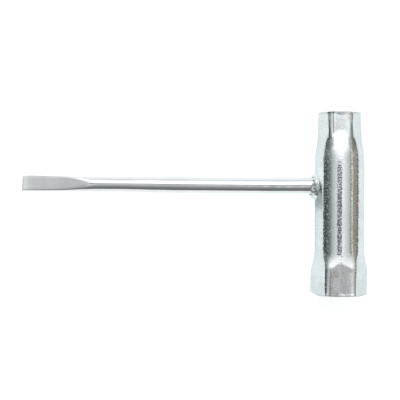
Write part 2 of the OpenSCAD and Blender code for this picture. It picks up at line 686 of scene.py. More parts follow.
@dataclass
class SocketTube(FormedPiece):
    """The tube with its two sockets.

    Attributes:
        radius: Outer radius of the round middle.
        bore: Inner radius of the round middle.
        length: Length from end to end.
        bar_height: Distance from the large end to the axis of the bar.
        rim: Radius of the rounded edges of both ends.
        rim_land: Width of the plain rim before the set back begins.
        large: The large socket.
        small: The small socket.
        finish: Its plate.
    """

    radius: float
    bore: float
    length: float
    bar_height: float
    rim: float
    rim_land: float
    large: Socket
    small: Socket
    finish: ZincPlate

    NODE = "socket_tube"
    SLOT = Slot.TUBE
    INPUTS = ("radius", "bore", "length", "bar_height", "rim_land")
    # Points round the tube, steps over each rim, and gaps between its rings
    SEGMENTS = 288
    RIM_STEPS = 5
    FORMED_GAP = 0.42
    ROUND_GAP = 1.4
    # How many times wider the gaps are on the inside
    INSIDE_FORMED = 1.6
    INSIDE_ROUND = 2.0
    # How far the narrow gaps go on past the formed lengths
    FLARE_MARGIN = 3.0
    TAPER_MARGIN = 6.0
    # Directions of three flats, and of the blunt corner with how narrow it is
    HEXAGON_SIDES = (math.radians(30), math.radians(90), math.radians(150))
    BLUNT_CORNER = math.radians(120)
    BLUNT_FOCUS = 3.0
    LEAST_SHARP = 5.0
    # Cells per millimetre of the waves, the lip and the burr
    WAVE_SCALE = 0.11
    LIP_SCALE = 0.28
    BURR_SCALE = 0.8
    # Distances from the ends over which lip, burr, wear and set back fade
    LIP_REACH = 1.5
    BURR_REACH = 1.2
    WEAR_REACH = 1.6
    SETBACK_REACH = 4.0
    # Cosine at which the set back of the sides begins, and the power with which it grows
    SIDE_START = 0.7
    SIDE_CURVE = 2.0
    # Wear at the ends, and the share of it on flats that the jaws of a vice don't touch
    END_WEAR = 0.3
    FREE_WEAR = 0.12
    # Values between which a share eases from 0 to 1: lip, outer skin and inner skin
    LIP_EDGE = (-0.2, 0.1)
    OUTER_EDGE = (0.6, 0.95)
    INNER_EDGE = (0.05, 0.5)
    # The same for the flats of the large and the small socket
    LARGE_FLAT_EDGE = (-0.02, 0.12)
    LARGE_GAP_EDGE = (0.2, 0.45)
    SMALL_FLAT_EDGE = (0.1, 0.5)
    # The same for the stained corners of the small socket and the shoulders behind them
    RIDGE_EDGE = (0.14, 0.02)
    RIDGE_START = (-0.3, 0.1)
    SHOULDER_EDGE = (0.5, 0.2)
    SHOULDER_START = (-1.3, -0.8)
    SHOULDER_END = (0.2, -0.3)
    # The same for the sine of the upper side and of the flats in the jaws
    UPPER_EDGE = (0.3, 0.7)
    JAW_EDGE = (0.8, 0.9)
    # Half of the soft edge of the die's marks
    SCORE_EDGE = 0.1
    # Where the painted shade below the weld lies, which stands in for the reflection of the bar's
    # shadow on the floor: from the axis of the bar, and by its cosine round the tube
    PAINTED_SHADE_START = (-13.0, -7.5)
    PAINTED_SHADE_END = (1.0, -3.0)
    PAINTED_SHADE_SIDE = (-0.7, -0.78)
    # Share of the formed length over which the shift of a socket fades
    SHIFT_EDGE = (0.8, 0.3)

    def _stations(self, gap: float, coarse: float) -> list[float]:
        """Heights of the rings along one side of the wall.

        Args:
            gap: Distance of the rings where the tube is formed.
            coarse: Distance of the rings in its round middle.

        Returns:
            The heights, from the large end to the small end.
        """
        flared = self.large.flats + self.large.run_out + self.FLARE_MARGIN
        tapered = self.length - self.small.flats - self.small.run_out - self.TAPER_MARGIN
        top = self.length - self.rim
        heights = spaced(self.rim, flared, gap) + spaced(flared, tapered, coarse)
        return heights + spaced(tapered, top, gap) + [top]

    def _section(self) -> list[tuple[float, float]]:
        """Closed section of the wall of the straight blank.

        Returns:
            Height and radius of each ring: up the outside, over the rim and down the inside.
        """
        arc = [0.5 * math.pi * i / self.RIM_STEPS for i in range(1, self.RIM_STEPS + 1)]
        up = [(height, self.radius) for height in self._stations(self.FORMED_GAP, self.ROUND_GAP)]
        top = self.length - self.rim
        over = [
            (top + self.rim * math.sin(a), self.radius - self.rim * (1 - math.cos(a))) for a in arc
        ]
        half = [(height, 2 * self._middle() - r) for height, r in reversed(over)]
        formed_gap = self.INSIDE_FORMED * self.FORMED_GAP
        inner = self._stations(formed_gap, self.INSIDE_ROUND * self.ROUND_GAP)
        down = [(height, self.bore) for height in reversed(inner)]
        under = [(self.length - height, r) for height, r in reversed(half)]
        out = [(self.length - height, r) for height, r in reversed(over)]
        return up + over + half + down + under + out

    def _middle(self) -> float:
        """Radius at the middle of the wall."""
        return (self.radius + self.bore) / 2

    def _blank(self) -> bpy.types.Object:
        """Make the straight tube before its ends are formed.

        Returns:
            A tube along Y that starts at the origin, in millimetres.
        """
        section = self._section()
        steps = circle(self.SEGMENTS)
        points = [(r * c, height, r * s) for height, r in section for c, s in steps]
        faces = ring_faces(len(section), self.SEGMENTS, closed=True)
        return add_object("socket_tube_plated", points, faces)

    def _press(self, material: bpy.types.Material) -> Press:
        """Build the tree that forms both sockets.

        Args:
            material: Finish of the tube.

        Returns:
            The tree.
        """
        sizes = {
            "Flare Tail": 0.7,
            "Flare Hollow": 0.62,
            "Flare Delay": 1.3,
            "Taper Hollow": 0.4,
            "Shoulder": 2.0,
            "Corner Blend": 0.25,
            "Waviness": 0.03,
            "Burr": 0.16,
            "Lip": 0.22,
            # Strength of the painted shade below the weld
            "Painted Shade Below Weld": 0.72,
            "Corner Stain": 0.68,
        }
        sizes.update(named_sizes(self, self.INPUTS))
        sizes.update(self.large.sizes("Large"))
        sizes.update(self.small.sizes("Small"))
        p = Press("form_sockets", sizes)
        place = p.term("GeometryNodeInputPosition")
        x, height, z = p.split(place)
        turn = p.math("ARCTAN2", z, x)
        blank_r = p.math("SQRT", x * x + z * z)
        skin = (blank_r - p.size("Bore")) / (p.size("Radius") - p.size("Bore"))

        outer = self._skin(p, SkinSide.OUTSIDE, turn, height)
        inner = self._skin(p, SkinSide.INSIDE, turn, height).radius
        wave = p.noise(place, self.WAVE_SCALE) * p.size("Waviness")
        lip = p.ease(p.noise(place, self.LIP_SCALE), *self.LIP_EDGE)
        lip = p.size("Lip") * lip * self._near_ends(p, height, self.LIP_REACH)
        radius = inner + (outer.radius - inner) * skin + wave + lip * skin
        blank_height = height
        height = height + self._setback(p, turn, radius, height)
        burr = p.noise(place, self.BURR_SCALE, detail=3.0) * p.size("Burr")
        height = height + burr * self._near_ends(p, height, self.BURR_REACH)
        formed = p.join(
            radius * p.math("COSINE", turn) + self._shift(p, height),
            height - p.size("Bar Height"),
            radius * p.math("SINE", turn),
        )
        ends = self.END_WEAR * self._near_ends(p, height, self.WEAR_REACH)
        worn = p.unit(outer.rubbed + ends) * p.ease(skin, *self.OUTER_EDGE)
        # The stain attribute carries the die's stains and the painted shade below the weld
        stain = p.unit(outer.stain + self._painted_shade_below_weld(p, turn, blank_height))
        shape = Term(p, p.entry.outputs["Blank"])
        shape = p.store(shape, Mark.WORN, worn)
        shape = p.store(shape, Mark.STAIN_AND_PAINTED_SHADE, stain)
        shape = p.store(shape, Mark.IRONED, outer.ironed)
        shape = p.store(shape, Mark.INSIDE, 1.0 - p.ease(skin, *self.INNER_EDGE))
        p.close(p.move(shape, formed), material)
        return p

    def _hexagon(self, p: Press, turn: Term, name: str, side: SkinSide, depth: Term) -> Term:
        """Radius of a hexagon with round corners at each angle.

        Args:
            p: Tree that forms the tube.
            turn: Angle round the axis.
            name: Name of the socket.
            side: Side of the wall.
            depth: Distance from the end of the socket.

        Returns:
            The radius.
        """
        sharp = p.size(f"{name} {side.value} Sharpness")
        apothem = p.size(f"{name} {side.value}")
        if side is SkinSide.OUTSIDE:
            past = depth - p.size(f"{name} Flats") / 2.0
            facing = 0.5 + 0.5 * p.math("COSINE", turn - self.BLUNT_CORNER)
            facing = facing ** self.BLUNT_FOCUS
            sharp = sharp + p.size(f"{name} Fill") * past - p.size(f"{name} Blunt") * facing
            sharp = p.math("MAXIMUM", sharp, self.LEAST_SHARP)
            apothem = apothem + p.size(f"{name} Cone") * past
        total: Operand = 0.0
        for flat in self.HEXAGON_SIDES:
            total = total + abs(p.math("COSINE", turn - p.size(f"{name} Clock") - flat)) ** sharp
        return apothem * total ** (-1.0 / sharp)

    def _skin(self, p: Press, side: SkinSide, turn: Term, height: Term) -> Skin:
        """One side of the wall, from the large end to the small end.

        Args:
            p: Tree that forms the tube.
            side: Side of the wall.
            turn: Angle round the axis.
            height: Height from the large end.

        Returns:
            Its radius and how the dies have marked it.
        """
        middle = p.size("Radius") if side is SkinSide.OUTSIDE else p.size("Bore")
        blend = p.size("Corner Blend")
        depth = p.size("Length") - height

        flare_end = p.size("Large Flats") + p.size("Large Run Out")
        within = p.math("MINIMUM", height, flare_end)
        past = p.math("MAXIMUM", height - flare_end, 0.0)
        large_hex = self._hexagon(p, turn, "Large", side, within) + past
        reach = p.size(f"Large {side.value} Reach")
        gap = reach - p.math("MINIMUM", large_hex - past, reach)
        hollow = p.size("Flare Hollow") * gap
        opened = (flare_end - p.size("Flare Delay") * gap - height) / p.size("Large Run Out")
        body = middle + (reach - hollow - middle) * p.higher(0.0, opened, p.size("Flare Tail"))
        large = p.lower(large_hex, body, blend)

        taper_start = p.size("Small Flats") + p.size("Small Run Out")
        small_hex = self._hexagon(p, turn, "Small", side, depth)
        drop = middle - p.size(f"Small {side.value}")
        closed = (taper_start - depth) / p.size("Small Run Out")
        corner = p.size(f"Small {side.value} Reach") - small_hex
        hollow = p.size("Taper Hollow") * p.math("MAXIMUM", corner, 0.0) * p.unit(closed)
        taper = middle - drop * closed - hollow
        small = p.higher(small_hex, taper, blend)

        on_large = p.ease(body - large_hex, *self.LARGE_FLAT_EDGE)
        on_large = on_large * p.ease(gap, *self.LARGE_GAP_EDGE)
        clear = small_hex - taper
        on_small = p.ease(clear, *self.SMALL_FLAT_EDGE)
        ridge = p.ease(corner, *self.RIDGE_EDGE) * p.ease(clear, *self.RIDGE_START)
        shoulder = p.ease(corner, *self.SHOULDER_EDGE) * p.ease(clear, *self.SHOULDER_START)
        shoulder = shoulder * p.ease(clear, *self.SHOULDER_END)
        sine = p.math("SINE", turn)
        cosine = p.math("COSINE", turn)
        scored = self._scores(p, self.small, small_hex * cosine) * on_small
        scored = scored + self._scores(p, self.large, large_hex * cosine) * on_large
        stain = scored + p.size("Corner Stain") * (ridge + shoulder)
        stain = p.ease(sine, *self.UPPER_EDGE) * stain
        rubbed = p.size("Large Rubbed") * on_large + p.size("Small Rubbed") * on_small
        jaws = self.FREE_WEAR + (1.0 - self.FREE_WEAR) * p.ease(abs(sine), *self.JAW_EDGE)
        radius = p.lower(large, small, p.size("Shoulder"))
        return Skin(radius, p.unit(rubbed * jaws), stain, on_small)

    def _scores(self, p: Press, socket: Socket, across: Term) -> Term:
        """Stain of the marks that the die left along the upper flat of a socket.

        Args:
            p: Tree that forms the tube.
            socket: The socket.
            across: Distance from the middle of the flat towards +X.

        Returns:
            The stain.
        """
        stain: Operand = 0.0
        for middle, half, strength in socket.scores:
            edge = (half + self.SCORE_EDGE, half - self.SCORE_EDGE)
            stain = stain + strength * p.ease(abs(across - middle), *edge)
        return stain

    def _painted_shade_below_weld(self, p: Press, turn: Term, height: Term) -> Term:
        """Painted shade on the -X side of the large socket below the weld, which stands in for the
        reflection of the bar's shadow on the floor.

        Args:
            p: Tree that forms the tube.
            turn: Angle round the axis.
            height: Height from the large end.

        Returns:
            The stain.
        """
        along = height - p.size("Bar Height")
        below = p.ease(along, *self.PAINTED_SHADE_START) * p.ease(along, *self.PAINTED_SHADE_END)
        side = p.ease(p.math("COSINE", turn), *self.PAINTED_SHADE_SIDE)
        return p.size("Painted Shade Below Weld") * below * side

    def _near_ends(self, p: Press, height: Term, reach: float) -> Term:
        """Share that is 1 at both ends of the tube and falls to 0 over a reach."""
        nearest = p.math("MINIMUM", height, p.size("Length") - height)
        return p.ease(nearest, reach, 0.0)

    def _setback(self, p: Press, turn: Term, radius: Term, height: Term) -> Term:
        """Shift along the axis that sets the outer corners back from both end faces.

        Args:
            p: Tree that forms the tube.
            turn: Angle round the axis.
            radius: Formed radius.
            height: Height from the large end.

        Returns:
            The shift.
        """
        shift: Operand = 0.0
        cosine = p.math("COSINE", turn)
        sideways = p.unit((abs(cosine) - self.SIDE_START) / (1.0 - self.SIDE_START))
        side = sideways ** self.SIDE_CURVE
        for name, distance, sign in (
            ("Large", height, 1.0),
            ("Small", p.size("Length") - height, -1.0),
        ):
            land = p.size(f"{name} Outside") + p.size("Rim Land")
            share = p.unit((radius - land) / (p.size(f"{name} Outside Reach") - land))
            bias = 1.0 + p.size(f"{name} Setback Bias") * cosine
            near = p.ease(distance, self.SETBACK_REACH, 0.0)
            back = p.size(f"{name} Setback") * share + p.size(f"{name} Side Setback") * side
            shift = shift + sign * back * bias * near
        return shift

    def _shift(self, p: Press, height: Term) -> Term:
        """Shift of each socket off the axis of the tube.

        Args:
            p: Tree that forms the tube.
            height: Height from the large end.

        Returns:
            The shift towards +X.
        """
        depth = p.size("Length") - height
        flare_end = p.size("Large Flats") + p.size("Large Run Out")
        taper_start = p.size("Small Flats") + p.size("Small Run Out")
        large = p.size("Large Shift") * p.ease(height / flare_end, *self.SHIFT_EDGE)
        small = p.size("Small Shift") * p.ease(depth / taper_start, *self.SHIFT_EDGE)
        return large + small


@dataclass
class DriverBar(FormedPiece):
    """The round bar, flattened into a screwdriver blade at its free end.

    Attributes:
        radius: Radius of the bar.
        reach: Distance from the axis of the tube to the tip.
        tube_radius: Outer radius of the tube that the bar stands on.
        blade: Length over which the bar is flattened.
        thin: Length of the thin part of the blade.
        root: Thickness where the thin part begins.
        tip: Thickness at the tip.
        corner: Radius of the corners of the tip.
        slant: How much shorter the blade is at its +Y side.
        spread: Share by which the tip is wider than the bar at its +Y side.
        uneven: Share of the spread that its -Y side lacks.
        neck: Share by which the bar is thinner behind the blade, where forging drew it out.
        bow: How far the middle of the bar bends towards -Y.
        finish: Its plate.
    """

    radius: float
    reach: float
    tube_radius: float
    blade: float
    thin: float
    root: float
    tip: float
    corner: float
    slant: float
    spread: float
    uneven: float
    neck: float
    bow: float
    finish: ZincPlate

    NODE = "driver_bar"
    SLOT = Slot.BAR
    INPUTS = ("radius", "reach", "tube_radius", "blade", "thin", "root", "tip")
    INPUTS += ("slant", "spread", "uneven", "neck", "bow")
    # Points round the bar, steps round its tip, rings on each end, and gaps between its rings
    SEGMENTS = 160
    TIP_STEPS = 6
    CAP_RINGS = 6
    BLADE_GAP = 0.4
    SHANK_GAP = 1.2
    # How far the narrow gaps start before the blade
    BEND_MARGIN = 2.0
    # Least half thickness of the round blank, so that nothing is divided by 0
    LEAST_CHORD = 0.02
    # Cells per millimetre of the waves
    WAVE_SCALE = 0.09
    # Distance from the tube over which the end of the bar follows it
    SEAT_REACH = 6.0
    # How far the flat stands inside the round before it counts as flat
    FLAT_EDGE = (0.05, 0.35)
    # Distances from the tip between which a share eases from 0 to 1: neck, spread, bow and slant
    NECK_RUN = (60.0, 44.0)
    SPREAD_RUN = (44.0, 0.0)
    BOW_START = (50.0, 80.0)
    BOW_END = (131.0, 110.0)
    SLANT_RUN = (3.0, 0.0)
    # Wear of the tip, what the rest of the blade has more, and the distances between the two
    TIP_WEAR = 0.58
    BLADE_WEAR = 0.22
    WEAR_RUN = (2.0, 6.0)
    # Polish of the tip, and the distances over which it starts and ends
    TIP_POLISH = 0.7
    POLISH_START = (3.4, 1.4)
    POLISH_END = (0.2, 0.7)
    # Polished line along the far edge: strength, place across, soft edge and length
    LINE_POLISH = 0.55
    LINE_PLACE = 2.7
    LINE_EDGE = (0.3, 0.1)
    LINE_RUN = (24.0, 16.0)
    # Matt streaks: stretch and cells of their pattern, soft edge, and place along, across and up
    STREAK_STRETCH = 0.16
    STREAK_SCALE = 1.3
    STREAK_EDGE = (-0.06, 0.06)
    STREAK_RUN = (-45.0, -36.0)
    STREAK_START = (-0.1, -0.35)
    STREAK_END = (-1.35, -1.05)
    STREAK_TOP = (0.0, 1.0)

    def _rings(self) -> list[tuple[float, float]]:
        """Rings of the straight blank from the tube to the tip.

        Returns:
            Distance from the axis of the tube, and radius, of each ring.
        """
        caps = [self.radius * i / self.CAP_RINGS for i in range(1, self.CAP_RINGS)]
        start = self.tube_radius
        bend = self.reach - self.blade - self.BEND_MARGIN
        end = self.reach - self.corner
        along = spaced(start, bend, self.SHANK_GAP) + spaced(bend, end, self.BLADE_GAP) + [end]
        rings = [(start, r) for r in caps] + [(place, self.radius) for place in along]
        for i in range(1, self.TIP_STEPS + 1):
            a = 0.5 * math.pi * i / self.TIP_STEPS
            edge = self.radius - self.corner * (1 - math.cos(a))
            rings.append((end + self.corner * math.sin(a), edge))
        inner = self.radius - self.corner
        rings += [
            (self.reach, inner * i / self.CAP_RINGS) for i in range(self.CAP_RINGS - 1, 0, -1)
        ]
        return rings

    def _blank(self) -> bpy.types.Object:
        """Make the straight round bar before it is flattened.

        Returns:
            A closed bar along -X, in millimetres.
        """
        rings, n = self._rings(), self.SEGMENTS
        steps = circle(n)
        points = [(-distance, r * c, r * s) for distance, r in rings for c, s in steps]
        faces = ring_faces(len(rings), n, closed=False)
        last = (len(rings) - 1) * n
        points += [(-rings[0][0], 0.0, 0.0), (-rings[-1][0], 0.0, 0.0)]
        root, tip = len(points) - 2, len(points) - 1
        for i in range(n):
            j = (i + 1) % n
            faces += [(root, i, j), (tip, last + j, last + i)]
        return add_object("driver_bar_plated", points, faces)

    def _press(self, material: bpy.types.Material) -> Press:
        """Build the tree that flattens the blade and fits the other end to the tube.

        Args:
            material: Finish of the bar.

        Returns:
            The tree.
        """
        sizes = named_sizes(self, self.INPUTS)
        sizes.update({"Edge Blend": 0.9, "Edge Wear": 1.3, "Bend Blend": 0.5, "Waviness": 0.012})
        p = Press("flatten_blade", sizes)
        place = p.term("GeometryNodeInputPosition")
        x, y, z = p.split(place)
        to_tip = p.size("Reach") + x
        squared = p.size("Radius") ** 2.0 - y * y
        chord = p.math("SQRT", p.math("MAXIMUM", squared, self.LEAST_CHORD**2))
        steep = (p.size("Radius") - p.size("Root") / 2.0) / (p.size("Blade") - p.size("Thin"))
        run = p.size("Root") / 2.0 + steep * (to_tip - p.size("Thin"))
        lean = (p.size("Root") - p.size("Tip")) / 2.0 / p.size("Thin")
        thin = p.size("Tip") / 2.0 + lean * to_tip
        half = p.higher(run, thin, p.size("Bend Blend"))
        near_edge = p.ease(y / p.size("Radius"), 0.0, -1.0)
        edge = p.size("Edge Blend") * (1.0 + p.size("Edge Wear") * near_edge)
        pressed = p.lower(chord, half, edge)
        keep = p.math("MAXIMUM", pressed / chord, 0.0)
        flat = p.ease(chord - half, *self.FLAT_EDGE)

        thinner = p.size("Neck") * p.ease(to_tip, *self.NECK_RUN)
        widest = (p.size("Spread") + p.size("Neck")) * (1.0 - p.size("Uneven") * near_edge)
        spread = widest * p.ease(to_tip, *self.SPREAD_RUN)
        bow = p.size("Bow") * p.ease(to_tip, *self.BOW_START) * p.ease(to_tip, *self.BOW_END)
        wave = p.noise(place, self.WAVE_SCALE) * p.size("Waviness")
        side = y * (1.0 - thinner + spread) + wave - bow
        rise = z * keep * (1.0 - thinner)
        tip_share = p.ease(to_tip, *self.SLANT_RUN)
        shorter = p.size("Slant") * tip_share * (y / p.size("Radius") + 1.0) / 2.0
        near_tube = p.ease(-x - p.size("Tube Radius"), self.SEAT_REACH, 0.0)
        seat = p.math("SQRT", p.size("Tube Radius") ** 2.0 - z * z) - p.size("Tube Radius")
        along = x + shorter - seat * near_tube
        formed = p.join(along, side, rise)

        rubbed = flat * (self.TIP_WEAR + self.BLADE_WEAR * p.ease(to_tip, *self.WEAR_RUN))
        polished = p.ease(to_tip, *self.POLISH_START) * p.ease(to_tip, *self.POLISH_END)
        line = p.ease(abs(y - self.LINE_PLACE), *self.LINE_EDGE) * p.ease(to_tip, *self.LINE_RUN)
        polished = self.TIP_POLISH * polished + self.LINE_POLISH * line
        streaks = self._streaks(p, x, y, z)
        shape = Term(p, p.entry.outputs["Blank"])
        shape = p.store(shape, Mark.WORN, p.unit(rubbed + streaks))
        shape = p.store(shape, Mark.STAIN_AND_PAINTED_SHADE, p.unit(flat * polished + streaks))
        p.close(p.move(shape, formed), material)
        return p

    def _streaks(self, p: Press, x: Term, y: Term, z: Term) -> Term:
        """Matt streaks along the top of the bar, near the weld.

        Args:
            p: Tree that forms the bar.
            x: Place along the bar.
            y: Place across it.
            z: Height.

        Returns:
            How much of the plate is matt.
        """
        pattern = p.noise(p.join(x * self.STREAK_STRETCH, y, 0.0), self.STREAK_SCALE)
        band = p.ease(y, *self.STREAK_START) * p.ease(y, *self.STREAK_END)
        band = band * p.ease(z, *self.STREAK_TOP) * p.ease(x, *self.STREAK_RUN)
        return p.ease(pattern, *self.STREAK_EDGE) * band


@dataclass
class WeldBead(FormedPiece):
    """The fillet weld round the end of the bar.

    Attributes:
        bar_radius: Radius of the bar.
        tube_radius: Outer radius of the tube.
        bar_leg: Mean leg along the bar.
        tube_leg: Mean leg on the tube.
        bias: Share by which the legs grow on the side of the large socket.
        crown: Bulge above a straight fillet, as a share of its leg.
        ripple: Height of the ripples.
        ripples: Number of ripples round the bar.
        lump: Height of the uneven lumps.
        finish: Its plate.
    """

    bar_radius: float
    tube_radius: float
    bar_leg: float
    tube_leg: float
    bias: float
    crown: float
    ripple: float
    ripples: int
    lump: float
    finish: ZincPlate

    NODE = "weld_bead"
    SLOT = Slot.WELD
    INPUTS = ("bar_radius", "tube_radius", "bar_leg", "tube_leg", "bias", "crown")
    INPUTS += ("ripple", "ripples", "lump")
    # Points round the bar and round each section, and the share of a section that is its face
    TURNS = 312
    SECTION = 64
    FACE_SHARE = 0.75
    FACE_EDGE = 0.01
    # How deep the weld sinks into the bar and the tube, and what counts as one point
    SINK = 0.12
    SAME_POINT = 0.0005
    # Unevenness of the legs: radius of the ring of its pattern, and its height
    LEG_RING = 1.3
    LEG_UNEVEN = 0.5
    # Lumps: radius and rise of the ring of their pattern, and its cells per millimetre
    LUMP_RING = 3.0
    LUMP_RISE = 1.5
    LUMP_SCALE = 0.7
    # Ripples: how far they trail off their middle, where that is, and how unevenly they follow
    RIPPLE_LAG = 2.2
    RIPPLE_MIDDLE = 0.35
    RIPPLE_DRIFT = 5.0
    RIPPLE_SHARP = 2.0

    def _blank(self) -> bpy.types.Object:
        """Make an empty piece, which the tree lays the weld into."""
        return add_object("weld_bead_plated", [], [])

    def _press(self, material: bpy.types.Material) -> Press:
        """Build the tree that lays the weld round the bar.

        Args:
            material: Finish of the weld.

        Returns:
            The tree.
        """
        p = Press("lay_weld", {**named_sizes(self, self.INPUTS), "Sink": self.SINK})
        size = {"Size X": 1.0, "Size Y": 1.0}
        count = {"Vertices X": self.TURNS + 1, "Vertices Y": self.SECTION + 1}
        grid = p.term("GeometryNodeMeshGrid", None, {**size, **count}, output="Mesh")
        u, v, _ = p.split(p.term("GeometryNodeInputPosition"))
        turn = (u + 0.5) * (2.0 * math.pi)
        share = v + 0.5
        back = (1.0 - share) / (1.0 - self.FACE_SHARE)
        out = p.math("MINIMUM", share / self.FACE_SHARE, back)
        edge = (self.FACE_SHARE + self.FACE_EDGE, self.FACE_SHARE - self.FACE_EDGE)
        on_face = p.ease(share, *edge)
        cosine = p.math("COSINE", turn)
        sine = p.math("SINE", turn)

        leg_ring = p.join(cosine * self.LEG_RING, sine * self.LEG_RING, 0.0)
        lump_ring = p.join(cosine * self.LUMP_RING, sine * self.LUMP_RING, out * self.LUMP_RISE)
        uneven = p.noise(leg_ring, 1.0)
        legs = 1.0 - p.size("Bias") * cosine + self.LEG_UNEVEN * uneven
        r = p.size("Bar Radius") + p.size("Tube Leg") * legs * out - p.size("Sink") * (1.0 - out)
        sideways = r * sine
        depth = p.math("SQRT", p.size("Tube Radius") ** 2.0 - sideways * sideways)
        fillet = p.size("Bar Leg") * legs * (1.0 - out) * (1.0 + p.size("Crown") * out)
        middle = p.math("SINE", out * math.pi)
        trail = out - self.RIPPLE_MIDDLE
        phase = turn + self.RIPPLE_LAG * trail * trail
        wave = p.math("COSINE", p.size("Ripples") * phase + self.RIPPLE_DRIFT * uneven)
        valley = 0.5 - 0.5 * wave
        ridge = p.size("Ripple") * (1.0 - 2.0 * valley**self.RIPPLE_SHARP) * middle
        lumps = p.size("Lump") * p.noise(lump_ring, self.LUMP_SCALE) * middle
        raised = on_face * (fillet + ridge + lumps) - p.size("Sink")
        formed = p.join(-depth - raised, r * cosine, sideways)
        # The valleys between the ripples are darker and rougher than the ridges
        shape = p.store(grid, Mark.WORN, p.unit(valley) * middle * on_face)
        merged = {"Geometry": p.move(shape, formed), "Distance": self.SAME_POINT}
        shape = p.term("GeometryNodeMergeByDistance", None, merged)
        p.close(p.term("GeometryNodeFlipFaces", None, {"Mesh": shape}), material)
        return p


@dataclass(frozen=True)
class Opening:
    """The opening in the tent that the camera looks through, dark in reflections.

    Attributes:
        across: Angles from straight up towards +X between which it lies, in degrees.
        lengthways: Angles from straight up towards +Y between which it lies, in degrees.
        edge: Width of its soft edge, in degrees.
        tone: Colour that it is seen in.
    """

    across: tuple[float, float]
    lengthways: tuple[float, float]
    edge: float
    tone: Colour

    def share(self, g: Graph, across: Term, lengthways: Term) -> Term:
        """How much of the light comes from the opening.

        Args:
            g: Tree of the world.
            across: Angle towards +X.
            lengthways: Angle towards +Y.

        Returns:
            The share, 1 inside the opening and 0 outside.
        """
        half = math.radians(self.edge) / 2
        share: Operand = 1.0
        for angle, limits in ((across, self.across), (lengthways, self.lengthways)):
            low, high = (math.radians(limit) for limit in limits)
            share = share * g.ease(angle, low - half, low + half)
            share = share * g.ease(angle, high + half, high - half)
        return share


@dataclass(frozen=True)
class StudioLight:
    """Soft light of the tent over the wrench, by direction.

    Attributes:
        across: Angle from straight up towards +X, in degrees, and colour of the light there.
        lengthways: Angle from straight up towards +Y, in degrees, and colour of the light there.
        opening: The camera's opening in the tent.
        gain: Brightness by which the colours are multiplied.
        backdrop: Colour that the camera sees behind the floor.
    """

    across: tuple[tuple[float, Colour], ...]
    lengthways: tuple[tuple[float, Colour], ...]
    opening: Opening
    gain: float
    backdrop: Colour

    # Softens the change between the two arcs straight overhead
    BLEND = 0.004

    def build(self) -> None:
        """Make the world that lights the scene."""
        world = bpy.data.worlds.new("light_tent")
        bpy.context.scene.world = world
        g = start_graph(world)
        x, y, z = g.split(g.term("ShaderNodeTexCoord", output="Generated"))
        to_side, to_end = (g.math("ARCTAN2", part, z) for part in (x, y))
        across = self._ramp(g, to_side, self.across)
        lengthways = self._ramp(g, to_end, self.lengthways)
        share = (y * y + self.BLEND) / (x * x + y * y + 2.0 * self.BLEND)
        light = g.mix(share, across, lengthways)
        tone = tuple(c / self.gain for c in self.opening.tone)
        light = g.mix(self.opening.share(g, to_side, to_end), light, tone)
        tent = g.term("ShaderNodeBackground", None, {"Color": light, "Strength": self.gain})
        behind = g.term("ShaderNodeBackground", None, {"Color": (*self.backdrop, 1.0)})
        seen = g.term("ShaderNodeLightPath", output="Is Camera Ray")
        both = g.term("ShaderNodeMixShader", None, {0: seen, 1: tent, 2: behind})
        g.node("ShaderNodeOutputWorld", None, {"Surface": both})

    def _ramp(self, g: Graph, angle: Term, stops: Sequence[tuple[float, Colour]]) -> Term:
        """Colour of the light along one arc of the tent.

        Args:
            g: Tree of the world.
            angle: Angle from straight up.
            stops: Angle in degrees and colour of each stop.

        Returns:
            The colour.
        """
        places = [
            (0.5 + degrees / 180.0, tuple(c / self.gain for c in colour))
            for degrees, colour in stops
        ]
        sockets = {"Fac": angle / math.pi + 0.5}
        return g.term("ShaderNodeValToRGB", {"stops": places}, sockets, output="Color")


@dataclass(frozen=True)
class Paper:
    """White paper of the floor, which is greyer in reflections than the camera sees it.

    Attributes:
        name: Name of the material.
        fibres: Colours between which its fibres vary.
        fibre_scale: Fibres per metre.
        reflected: Colour in reflections.
        glow: Colour of the light that the camera sees it give off.
        reflected_glow: Colour of the light that it gives off in reflections.
        strength: Strength of that light.
        rough: Roughness.
    """

    name: str
    fibres: tuple[Colour, Colour]
    fibre_scale: float
    reflected: Colour
    glow: Colour
    reflected_glow: Colour
    strength: float
    rough: float

    def material(self) -> bpy.types.Material:
        """Build the material.

        Returns:
            The material.
        """
        material = bpy.data.materials.new(self.name)
        g = start_graph(material)
        place = g.term("ShaderNodeTexCoord", output="Object")
        fibre = g.term("ShaderNodeTexNoise", None, {"Vector": place, "Scale": self.fibre_scale})
        seen = g.term("ShaderNodeLightPath", output="Is Camera Ray")
        shader = g.term(
            "ShaderNodeBsdfPrincipled",
            None,
            {
                "Base Color": g.mix(seen, self.reflected, g.mix(fibre, *self.fibres)),
                "Roughness": self.rough,
                "Specular IOR Level": 0.0,
                "Emission Color": g.mix(seen, self.reflected_glow, self.glow),
                "Emission Strength": self.strength,
            },
        )
        g.node("ShaderNodeOutputMaterial", None, {"Surface": shader})
        return material


